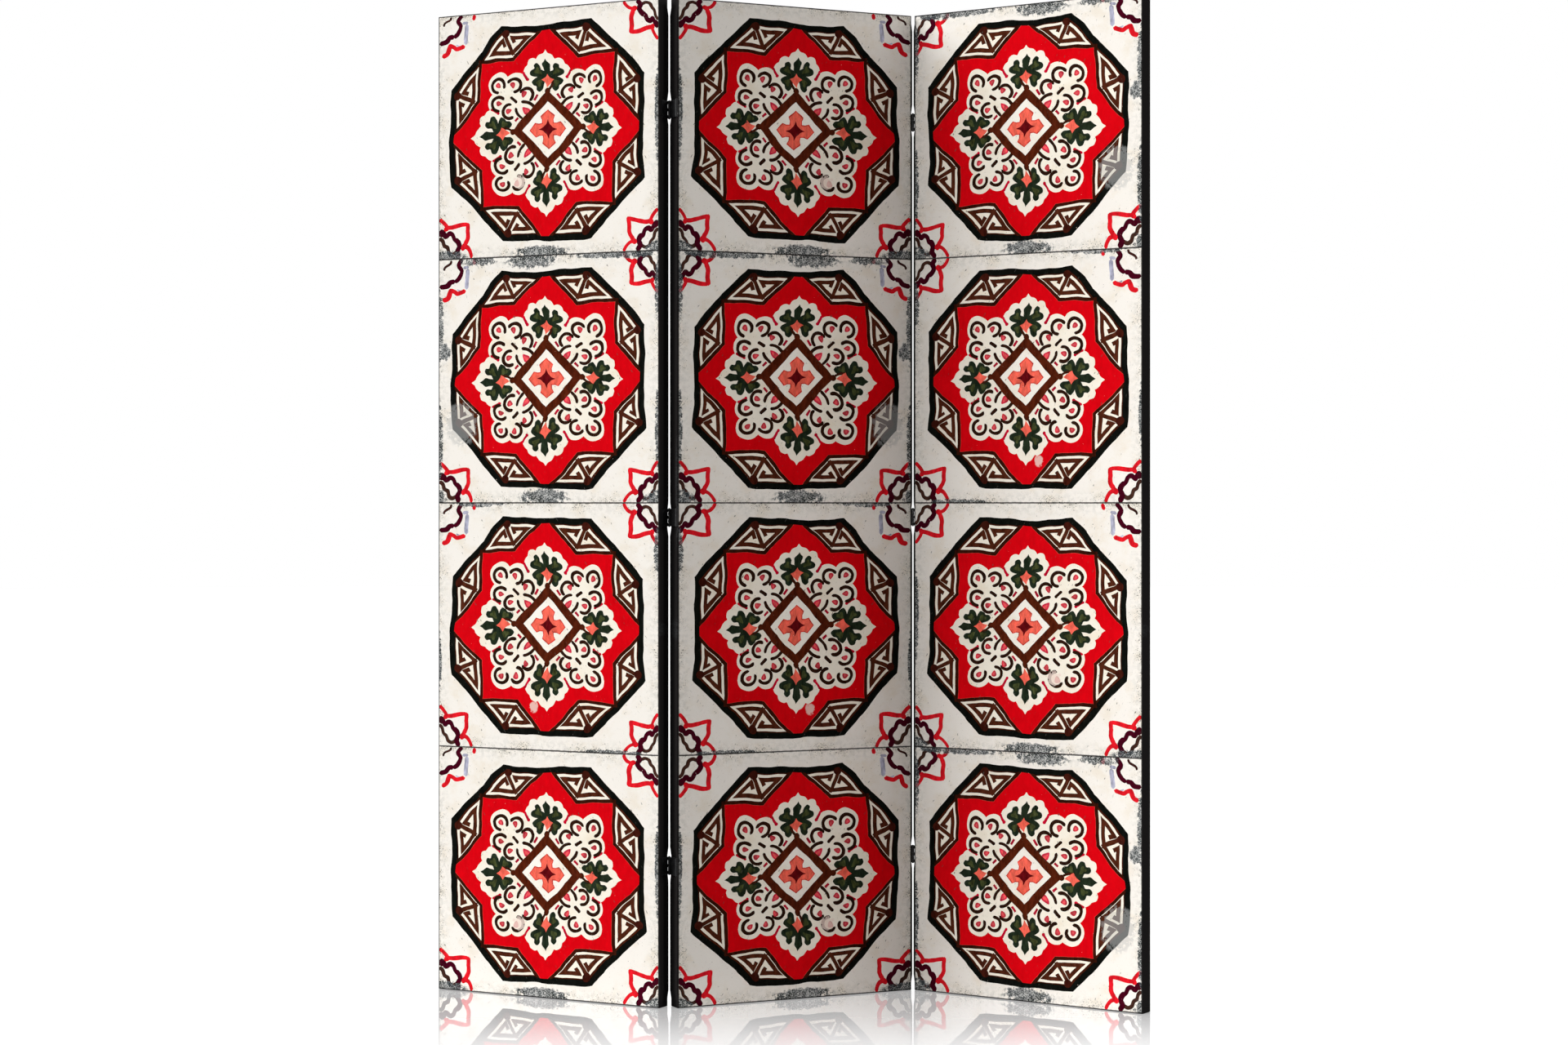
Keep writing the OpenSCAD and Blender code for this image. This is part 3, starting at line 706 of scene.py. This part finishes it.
def blend(tree, factor, first, second, how="MIX"):
    """Mix of two colours, which are the node's inputs 6 and 7, and its output 2."""
    return add(tree, "ShaderNodeMix", {0: factor, 6: first, 7: second}, 2, data_type="RGBA",
               blend_type=how)


def between(tree, value, low, high, to_low=0.0, to_high=1.0):
    """The value, stretched from one range to another and held at its ends."""
    return add(tree, "ShaderNodeMapRange", {0: value, 1: low, 2: high, 3: to_low, 4: to_high},
               interpolation_type="SMOOTHSTEP")


def noise(tree, where, scale, detail, rough=0.55, stretch=None):
    """Cloudy noise with this many features to the unit, drawn out where stretch isn't 1."""
    if stretch:
        where = add(tree, "ShaderNodeMapping", {"Vector": where, "Scale": stretch})
    return add(tree, "ShaderNodeTexNoise", {"Vector": where, "Scale": scale, "Detail": detail,
                                            "Roughness": rough})


def bump(tree, height, distance, strength):
    """Normals tilted by a height, where 1 stands for this distance in metres."""
    return add(tree, "ShaderNodeBump", {"Height": height, "Distance": distance,
                                        "Strength": strength})


def shown(colour):
    """Colour from 0 to 255 as a socket takes it."""
    return (*linear(colour), 1.0)


# %% Helpers for groups and materials
def group(name, takes, gives):
    """Empty node group with named sockets, and the nodes that bring them in and take them out."""
    tree = bpy.data.node_groups.new(name, "ShaderNodeTree")
    for sockets, way in ((takes, "INPUT"), (gives, "OUTPUT")):
        for label, kind in sockets:
            tree.interface.new_socket(label, in_out=way, socket_type="NodeSocket" + kind)
    return tree, tree.nodes.new("NodeGroupInput").outputs, tree.nodes.new("NodeGroupOutput").inputs


def use(tree, which, sockets):
    """The group placed in a tree."""
    return add(tree, "ShaderNodeGroup", sockets, node_tree=which).node.outputs


def material(name):
    """New material: its tree and its Principled shader."""
    made = bpy.data.materials.new(name)
    made.use_nodes = True
    return made, made.node_tree, made.node_tree.nodes["Principled BSDF"]


# %% [markdown]
# ### Weave
# Canvas and back cloth are both plain weaves, with threads over and under each other. Two rows of
# sine waves, each shown where the other dips, look like that. One group serves both cloths, with
# their threads to the metre.

# %% Weave group
weave, given, result = group("plain weave", [("Metres", "Vector"), ("Threads", "Float")],
                             [("Height", "Float"), ("Thread", "Float")])
x, y = add(weave, "ShaderNodeSeparateXYZ", {0: given["Metres"]}).node.outputs[:2]
across, upward = (times(weave, times(weave, way, given["Threads"]), np.pi) for way in (x, y))
over, under = (calc(weave, "ABSOLUTE", calc(weave, "SINE", way)) for way in (across, upward))
dip_up, dip_across = (times(weave, 0.4, calc(weave, "COSINE", way)) for way in (upward, across))
weft = times(weave, over, plus(weave, 0.6, dip_up))
warp = times(weave, under, calc(weave, "SUBTRACT", 0.6, dip_across))
weave.links.new(calc(weave, "MAXIMUM", weft, warp), result["Height"])
slub = noise(weave, given["Metres"], 170, 2, 0.5, (1, 0.13, 1))
weave.links.new(slub, result["Thread"])
print("weave group has", len(weave.nodes), "nodes")

# %% [markdown]
# ### Print
# On the real screen the print is a picture of an old tile: paint that varies with the brush, grey
# speckles and smudges towards the tile's edges, a dark joint between tiles, and fine scratches.
# The tile's own coordinates are known in every triangle, so noise that is masked by place and kind
# of tile gives all of these, and stays sharp close up as a painted picture wouldn't.

# %% Stain group
stain, given, result = group("ragged stain", [("Tile", "Vector"), ("Centre", "Vector"),
                                              ("Reach", "Vector"), ("Cloud", "Float")],
                             [("Mask", "Float")])
off = add(stain, "ShaderNodeVectorMath", {0: given["Tile"], 1: given["Centre"]},
          operation="SUBTRACT")
off = add(stain, "ShaderNodeVectorMath", {0: off, 1: given["Reach"]}, operation="DIVIDE")
inward = calc(stain, "SUBTRACT", 1.0, add(stain, "ShaderNodeVectorMath", {0: off}, 1,
                                          operation="LENGTH"))
ragged = plus(stain, inward, times(stain, calc(stain, "SUBTRACT", given["Cloud"], 0.5), 2.4))
stain.links.new(times(stain, between(stain, ragged, 0.04, 0.32), between(stain, inward, 0.0, 0.25)),
                result["Mask"])
print("stain group has", len(stain.nodes), "nodes")

# %% Where the stains are
# (kind of tile, x, y, reach x, reach y), in the tile's own measure
SMUDGES = ((1, 0.14, 0.975, 0.28, 0.10), (1, -0.62, 1.0, 0.5, 0.06), (1, 0.62, 0.975, 0.2, 0.05),
           (1, 1.0, 0.45, 0.05, 0.40), (1, 0.95, 0.24, 0.07, 0.09), (1, 0.02, -0.955, 0.26, 0.085),
           (1, 1.0, -0.5, 0.045, 0.4), (1, -1.0, 0.7, 0.045, 0.3), (1, -1.0, -1.0, 0.17, 0.12),
           (1, 1.0, -0.97, 0.09, 0.10), (1, -1.0, -0.4, 0.04, 0.4),
           (0, -1.0, -1.0, 0.15, 0.10), (0, 0.93, -1.0, 0.22, 0.08), (0, -1.0, 0.1, 0.04, 0.5),
           (0, 0.05, -0.97, 0.30, 0.06), (2, -1.0, 0.62, 0.05, 0.25),
           (2, 0.6, 1.0, 0.3, 0.04), (2, 1.0, -0.3, 0.035, 0.3), (2, -0.6, -1.0, 0.35, 0.035))
VEILS = ((1, 0.79, -0.36, 0.17, 0.21),)
FLAKES = ((2, 0.12, -0.66, 0.045, 0.055), (0, 0.26, -0.40, 0.07, 0.07))
print(len(SMUDGES), "smudges,", len(VEILS), "veil,", len(FLAKES), "flakes")

# %% Ageing of the tile
aged, given, result = group("aged tile", [("Tile", "Vector"), ("Ink", "Color"),
                                          ("Brushed", "Float")],
                            [("Color", "Color"), ("Wear", "Float")])
where = given["Tile"]
u, v = add(aged, "ShaderNodeSeparateXYZ", {0: where}).node.outputs[:2]
far_u = calc(aged, "ABSOLUTE", calc(aged, "WRAP", u, 2.0, -2.0))  # without the 4 for each kind
far_v = calc(aged, "ABSOLUTE", v)
far = calc(aged, "MAXIMUM", far_u, far_v)
cloud = noise(aged, where, 5.5, 5, 0.62)
middling = noise(aged, where, 26, 4, 0.62)
fine = noise(aged, where, 95, 2, 0.6)


def marks(places):
    """The strongest of several stains at each point."""
    whole = None
    for kind, x, y, wide, high in places:
        one = use(aged, stain, {"Tile": where, "Centre": (x + 4 * kind, y, 0),
                                "Reach": (wide, high, 1), "Cloud": middling})["Mask"]
        whole = one if whole is None else calc(aged, "MAXIMUM", whole, one)
    return whole


def aslant(angle):
    """The tile's coordinates, turned."""
    return add(aged, "ShaderNodeMapping", {"Vector": where, "Rotation": (0, 0, angle)})


print("aged tile group starts with", len(aged.nodes), "nodes")

# %% Brush and ground
# each colour grows darker and lighter in streaks
streak = noise(aged, where, 26, 4, 0.65, (1, 0.4, 1))
tone = times(aged, calc(aged, "SUBTRACT", streak, 0.5), 3.2)
value = plus(aged, 1.0, times(aged, tone, given["Brushed"]))
colour = add(aged, "ShaderNodeHueSaturation", {"Color": given["Ink"],
                                               "Value": calc(aged, "MAXIMUM", value, 0.35)})
# slow changes of the ground
warm = blend(aged, 1.0, colour, shown((248, 244, 237)), "MULTIPLY")
colour = blend(aged, between(aged, cloud, 0.45, 0.72), colour, warm)
cool = blend(aged, 1.0, colour, shown((232, 233, 232)), "MULTIPLY")
rim = times(aged, between(aged, far, 0.86, 1.0), between(aged, middling, 0.42, 0.6))
colour = blend(aged, times(aged, rim, 0.8), colour, cool)
print("with brush and ground it has", len(aged.nodes))

# %% Smudges and speckles
# smudges are mottled dark and light
smudge = marks(SMUDGES)
mottle = between(aged, plus(aged, fine, times(aged, middling, 0.7)), 0.70, 0.94)
colour = blend(aged, times(aged, smudge, between(aged, mottle, 0, 1, 0.66, 0.92)), colour,
               blend(aged, mottle, shown((150, 156, 158)), shown((42, 51, 56))))
# speckles are thick at the rim and round the smudges
crowd = times(aged, between(aged, far, 0.87, 1.0), between(aged, cloud, 0.38, 0.66))
crowd = plus(aged, crowd, times(aged, smudge, 0.6))
speck = between(aged, plus(aged, fine, times(aged, crowd, 0.17)), 0.70, 0.75)
colour = blend(aged, times(aged, speck, 0.85), colour, shown((38, 44, 42)))
print("with smudges and speckles it has", len(aged.nodes))

# %% Veils, scratches and joints
colour = blend(aged, times(aged, marks(VEILS), 0.42), colour, shown((168, 170, 168)))
# dark nicks
nick = noise(aged, aslant(0.5), 30, 2, 0.5, (2.4, 0.7, 1))
nick = times(aged, between(aged, nick, 0.675, 0.70), between(aged, cloud, 0.47, 0.6, 0.15, 0.8))
colour = blend(aged, nick, colour, shown((66, 66, 62)))
# pale hairlines, flecks and flakes
line = noise(aged, aslant(0.9), 1.0, 3, 0.6, (3, 90, 1))
hair = times(aged, between(aged, line, 0.735, 0.76), between(aged, cloud, 0.5, 0.62))
fleck = between(aged, noise(aged, where, 52, 2, 0.5, (1, 1.3, 1)), 0.76, 0.79)
pale = calc(aged, "MAXIMUM", calc(aged, "MAXIMUM", hair, fleck), marks(FLAKES))
colour = blend(aged, times(aged, pale, 0.7), colour, shown((236, 214, 202)))
# joint between tiles
joint = between(aged, plus(aged, far, times(aged, middling, 0.006)), 0.9955, 0.9985)
colour = blend(aged, times(aged, joint, 0.9), colour, shown((34, 32, 32)))
aged.links.new(colour, result["Color"])
aged.links.new(calc(aged, "MAXIMUM", speck, smudge), result["Wear"])
print("aged tile group has", len(aged.nodes), "nodes")

# %% Printed canvas
print_finish, tree, shader = material("printed canvas")
tile_uv = add(tree, "ShaderNodeUVMap", uv_map="print")
ink_node = add(tree, "ShaderNodeAttribute", attribute_name="ink").node.outputs
old = use(tree, aged, {"Tile": tile_uv, "Ink": ink_node["Color"], "Brushed": ink_node["Alpha"]})
metres = add(tree, "ShaderNodeMapping", {"Vector": tile_uv, "Scale": (*HALF_TILE, 1)})
cloth = use(tree, weave, {"Metres": metres, "Threads": 1600.0})
raised = plus(tree, times(tree, cloth["Height"], 0.6), cloth["Thread"])
fill(tree, shader, {"Base Color": old["Color"], "Normal": bump(tree, raised, 0.00012, 0.35),
                    "Roughness": between(tree, old["Wear"], 0, 1, 0.80, 0.92),
                    "Specular IOR Level": 0.004})
for panel, piece in prints.items():
    piece.data.materials.append(print_finish)
    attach(piece, panel + "_panel")
    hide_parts(panel + "_panel_canvas")
print("printed canvas on", len(prints), "panels")

# %% Back cloth
cloth_finish, tree, shader = material("back cloth")
metres = add(tree, "ShaderNodeUVMap", uv_map="cloth")
cloth = use(tree, weave, {"Metres": metres, "Threads": 1100.0})
hue = blend(tree, between(tree, noise(tree, metres, 6, 4), 0.35, 0.7), shown((231, 226, 213)),
            shown((222, 215, 200)))
hue = blend(tree, between(tree, cloth["Thread"], 0.52, 0.78, 0, 0.45), hue, shown((208, 200, 183)))
raised = plus(tree, cloth["Height"], times(tree, cloth["Thread"], 1.5))
fill(tree, shader, {"Base Color": hue, "Normal": bump(tree, raised, 0.0002, 0.5),
                    "Roughness": between(tree, cloth["Thread"], 0.3, 0.7, 0.85, 0.95)})
for panel, piece in backs.items():
    piece.data.materials.append(cloth_finish)
    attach(piece, panel + "_panel")
    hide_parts(panel + "_panel_back_cloth")
print("back cloth on", len(backs), "panels")

# %% [markdown]
# ### Wood, paint and steel
# The bars are bare planed pine, with the grain along each bar. The hinges are steel with a satin
# black paint that is worn through in places, and the nails and staples are plain bright steel.
# Grain could be rings cut through a log, but in a narrow bar noise drawn out into streaks will do.

# %% Wood
def wood(name, pale, dark, along_z):
    """Grain and pores: coarse and fine noise drawn out along the bar, through browns."""
    made, tree, shader = material(name)
    where = add(tree, "ShaderNodeTexCoord").node.outputs["Object"]
    long_way = (22, 22, 1.4) if along_z else (1.4, 22, 22)
    grain = noise(tree, where, 5, 5, 0.6, long_way)
    pores = noise(tree, where, 40, 3, 0.6, long_way)
    tone = blend(tree, between(tree, grain, 0.38, 0.66), shown(pale), shown(dark))
    tone = blend(tree, between(tree, pores, 0.5, 0.75, 0, 0.5), tone, shown((150, 106, 62)))
    fill(tree, shader, {"Base Color": tone, "Roughness": between(tree, pores, 0.3, 0.7, 0.5, 0.72),
                        "Normal": bump(tree, pores, 0.0003, 0.4)})
    return made


PINE = (226, 190, 138), (200, 152, 96)
pine_up = wood("pine along the stiles", *PINE, True)
pine_across = wood("pine along the rails", *PINE, False)
beech = wood("beech dowel", (206, 166, 118), (184, 140, 92), False)


# %% Black paint and steel
def metal(name, bare, paint_colour, painted, gloss, grit, shine=0.5):
    """Paint that is worn through to the metal where noise is above painted. Gloss is the lowest
    roughness, grit the fineness of the noise."""
    made, tree, shader = material(name)
    where = add(tree, "ShaderNodeTexCoord").node.outputs["Object"]
    fine = noise(tree, where, grit, 4, 0.6)
    broad = noise(tree, where, grit / 9, 3, 0.5)
    worn = between(tree, plus(tree, fine, times(tree, broad, 0.25)), painted, painted + 0.05)
    dull = blend(tree, between(tree, broad, 0.4, 0.7), shown(paint_colour),
                 shown(tuple(c + 14 for c in paint_colour)))
    fill(tree, shader, {"Base Color": blend(tree, worn, dull, shown(bare)), "Metallic": worn,
                        "Roughness": between(tree, fine, 0.3, 0.7, gloss, gloss + 0.16),
                        "Normal": bump(tree, fine, 0.0002, 0.25), "Specular IOR Level": shine})
    return made


hinge_paint = metal("black hinge paint", (150, 148, 144), (16, 16, 17), 0.80, 0.40, 700, 0.2)
pin_paint = metal("black pin paint", (150, 148, 144), (20, 20, 21), 0.78, 0.36, 900, 0.2)
screw_black = metal("black screw", (120, 118, 116), (24, 23, 23), 0.82, 0.34, 1200, 0.3)
nail = metal("plain nail steel", (196, 196, 198), (170, 168, 164), 0.35, 0.32, 900)
staple = metal("galvanised staple", (138, 141, 145), (112, 114, 117), 0.35, 0.30, 1500)

# %% Finish of each CAD node
FINISH = (("canvas", print_finish), ("back_cloth", cloth_finish), ("stile", pine_up),
          ("rail", pine_across), ("crossbar", pine_across), ("dowels", beech),
          ("corner_nails", nail), ("staples", staple), ("screws", screw_black),
          ("pins", pin_paint), ("hinge", hinge_paint))
for name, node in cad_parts.items():
    made = next(made for part, made in FINISH if part in name)
    for slot in node.material_slots:
        slot.material = made
print(len(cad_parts), "CAD nodes finished")

# %% [markdown]
# ## Floor, air and light
# The screen stands on a white floor in a white room. For the camera the floor and the air are
# white, and the floor mirrors the feet faintly. Four soft suns light each panel evenly from top to
# bottom, which area lamps wouldn't: the strongest, on the left, lights the outer panels and grazes
# the middle one, a weaker one fills in from the front, and two light the right side and the backs.

# %% Floor
FLOOR_REACH, FLOOR_SIDES, FLOOR_LEVEL = 26, 96, -0.0004  # just under the feet
FLOOR_GREY, FLOOR_GLOW = 0.36, 0.80  # its own grey, and what is added to it for the camera
floor_mesh = bpy.data.meshes.new("floor")
floor_points = np.c_[disc((0, 0), FLOOR_REACH, FLOOR_SIDES), np.full(FLOOR_SIDES, FLOOR_LEVEL)]
floor_mesh.from_pydata(floor_points.tolist(), [], [list(range(FLOOR_SIDES))])
floor = bpy.data.objects.new("floor", floor_mesh)
bpy.context.scene.collection.objects.link(floor)
floor_finish, tree, shader = material("white floor")
tree.nodes.remove(shader)
end = tree.nodes["Material Output"].inputs["Surface"]
seen = add(tree, "ShaderNodeLightPath").node.outputs["Is Camera Ray"]
glow = add(tree, "ShaderNodeEmission", {"Color": (1, 1, 1, 1),
                                        "Strength": times(tree, seen, FLOOR_GLOW)})
matt = add(tree, "ShaderNodeBsdfDiffuse", {"Color": (FLOOR_GREY, FLOOR_GREY, FLOOR_GREY, 1)})
lit = add(tree, "ShaderNodeAddShader", {0: matt, 1: glow})
mirror = add(tree, "ShaderNodeBsdfGlossy", {"Color": (1, 1, 1, 1), "Roughness": 0.0})
place = add(tree, "ShaderNodeTexCoord").node.outputs["Object"]
depth = calc(tree, "ABSOLUTE", add(tree, "ShaderNodeSeparateXYZ", {0: place}, out=1))
fade = between(tree, depth, 0.62, 0.05, 0.3, 1.5)  # the mirror image is clearest near the feet
angle = add(tree, "ShaderNodeFresnel", {"IOR": 1.45})
tree.links.new(add(tree, "ShaderNodeMixShader", {0: times(tree, fade, angle), 1: lit,
                                                 2: mirror}), end)
floor_mesh.materials.append(floor_finish)
print("floor", 2 * FLOOR_REACH, "m across")

# %% Air
AIR_LIGHT, AIR_SEEN = 0.08, 1.0  # its strength as a light, and as the camera and gloss see it
world = bpy.data.worlds.new("white room")
bpy.context.scene.world = world
world.use_nodes = True
tree = world.node_tree
tree.nodes.clear()
path = tree.nodes.new("ShaderNodeLightPath").outputs
plain = calc(tree, "MAXIMUM", path["Is Camera Ray"], path["Is Glossy Ray"])
strength = add(tree, "ShaderNodeMix", {0: plain, 2: AIR_LIGHT, 3: AIR_SEEN}, data_type="FLOAT")
air = add(tree, "ShaderNodeBackground", {"Color": (1, 1, 1, 1), "Strength": strength})
tree.links.new(air, tree.nodes.new("ShaderNodeOutputWorld").inputs["Surface"])
print("air has", len(tree.nodes), "nodes")


# %% Lamps
def sun(name, azimuth, height, strength, softness):
    """Sun lamp from azimuth degrees round from the front, to the viewer's left, and height degrees
    up. Softness is the angle that it fills."""
    lamp = bpy.data.lights.new(name, "SUN")
    lamp.energy, lamp.angle = strength, np.radians(softness)
    thing = bpy.data.objects.new(name, lamp)
    a, h = np.radians(azimuth), np.radians(height)
    towards = Vector((-np.sin(a) * np.cos(h), -np.cos(a) * np.cos(h), np.sin(h)))
    thing.rotation_euler = towards.to_track_quat("Z", "Y").to_euler()
    bpy.context.scene.collection.objects.link(thing)
    print(name, "from", towards.to_tuple(2))


for lamp in (("side lamp", 80, 20, 3.1, 30), ("front lamp", 50, 25, 0.9, 30),
             ("right lamp", -66, 15, 1.0, 24), ("back lamp", 205, 35, 2.2, 40)):
    sun(*lamp)
bpy.context.scene.view_settings.view_transform = "Standard"
